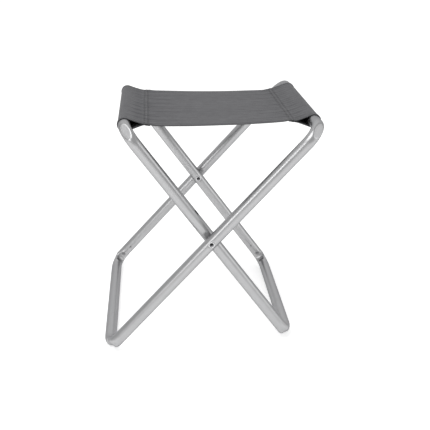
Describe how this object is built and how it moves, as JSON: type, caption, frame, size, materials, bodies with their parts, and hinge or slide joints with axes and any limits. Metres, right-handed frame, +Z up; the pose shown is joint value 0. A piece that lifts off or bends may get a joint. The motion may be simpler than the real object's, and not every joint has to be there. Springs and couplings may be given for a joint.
{
  "type": "folding camp stool",
  "caption": "Folding X-frame camp stool: crossed bent-tube loops riveted at the crossing, with a woven fabric seat sewn round their upper bars.",
  "frame": {"origin": "on the floor, midway between the pivots and straight below them", "axes": "+Z up; +Y from the front pivot to the rear pivot; +X from the outer frame's lower bar to its upper bar"},
  "size_m": [0.401, 0.4286, 0.4312],
  "materials": {
    "anodised_tube": "satin clear-anodised drawn tube",
    "spigot": "plain drawn tube",
    "rivet": "bright tubular rivet",
    "spacer": "black moulded washer",
    "seat_fabric": "plain-weave coated polyester"
  },
  "bodies": {
    "outer_frame": {"outer_frame_tube": "anodised_tube", "outer_joint_spigot": "spigot", "front_pivot_rivet": "rivet", "rear_pivot_rivet": "rivet", "front_pivot_spacer": "spacer", "rear_pivot_spacer": "spacer", "right_bar_sleeve": "seat_fabric", "seat_panel": "seat_fabric"},
    "inner_frame": {"inner_frame_tube": "anodised_tube", "inner_joint_spigot": "spigot", "left_bar_sleeve": "seat_fabric"}
  },
  "joints": [
    {"name": "leg_fold", "type": "hinge", "parent": "outer_frame", "child": "inner_frame", "pos_m": [0, 0, 0.215], "axis": [0, 1, 0], "range_deg": [0, 70], "deforming": ["seat_panel", "left_bar_sleeve", "right_bar_sleeve"]}
  ]
}
